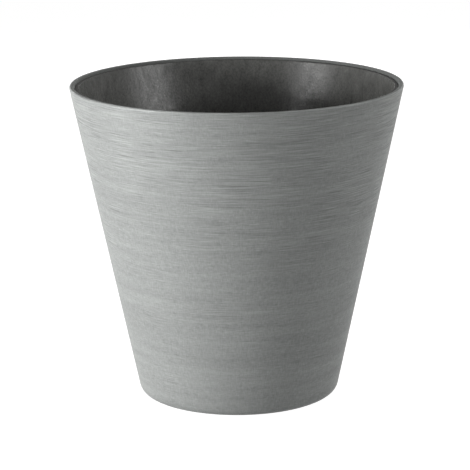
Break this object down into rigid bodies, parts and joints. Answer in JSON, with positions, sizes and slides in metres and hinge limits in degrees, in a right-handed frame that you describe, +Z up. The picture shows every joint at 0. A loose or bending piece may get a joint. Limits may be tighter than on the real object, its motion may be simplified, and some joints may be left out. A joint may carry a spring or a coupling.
{
  "type": "self watering planter",
  "caption": "Tapered round pot with a lift-out liner, pull-up handles, and an insert with wicking soil cups, fill tube with flip lid, float gauge and drain plug.",
  "frame": {"origin": "on the ground under the pot's axis, in the plane of the foot ring", "axes": "+Z up along the pot's axis, -Y towards the front, where the fill tube and the gauge stand"},
  "size_m": [0.2994, 0.2994, 0.285],
  "materials": {
    "brushed_grey": "brushed grey, satin",
    "dark_grey": "moulded, semi-gloss",
    "black": "moulded, fine grain",
    "rubber": "soft, matt",
    "red": "moulded, glossy",
    "foam": "closed-cell foam",
    "clear": "clear, polished",
    "pin_steel": "drawn steel"
  },
  "bodies": {
    "pot": {"outer_pot": "brushed_grey"},
    "liner": {"liner": "dark_grey"},
    "handle_left": {"liner_handle_left": "dark_grey"},
    "handle_right": {"liner_handle_right": "dark_grey"},
    "plug_seal": {"drain_seal": "rubber"},
    "plug": {"drain_plug": "black"},
    "insert": {"separator_plate": "black", "wick_cup_rear": "black", "wick_cup_left": "black", "wick_cup_right": "black", "fill_tube": "black", "lid_hinge_pin": "pin_steel", "gauge_tube": "black", "gauge_window": "clear"},
    "lid": {"fill_lid": "black"},
    "float": {"gauge_float": "foam", "gauge_rod": "black", "gauge_flag": "red"}
  },
  "joints": [
    {"name": "liner_lift", "type": "slide", "parent": "pot", "child": "liner", "axis": [0, 0, 1], "range_m": [0, 0.3]},
    {"name": "handle_left_pull", "type": "slide", "parent": "liner", "child": "handle_left", "axis": [-0.206, 0, 0.9785], "range_m": [0, 0.0633]},
    {"name": "handle_right_pull", "type": "slide", "parent": "liner", "child": "handle_right", "axis": [0.206, 0, 0.9785], "range_m": [0, 0.0633]},
    {"name": "plug_travel", "type": "slide", "parent": "liner", "child": "plug_seal", "axis": [0, 0, -1], "range_m": [0, 0.012]},
    {"name": "plug_turn", "type": "hinge", "parent": "plug_seal", "child": "plug", "pos_m": [0, 0, 0.0103], "axis": [0, 0, -1], "range_deg": [0, 1440]},
    {"name": "insert_lift", "type": "slide", "parent": "liner", "child": "insert", "axis": [0, 0, 1], "range_m": [0, 0.28]},
    {"name": "lid_hinge", "type": "hinge", "parent": "insert", "child": "lid", "pos_m": [-0.0223, -0.09492, 0.2615], "axis": [1, 0, 0], "range_deg": [0, 110]},
    {"name": "float_rise", "type": "slide", "parent": "insert", "child": "float", "axis": [0, 0, 1], "range_m": [0, 0.036]}
  ],
  "couplings": [
    {"joint": "plug_travel", "follows": "plug_turn", "m_per_rad": 0.00047746}
  ]
}
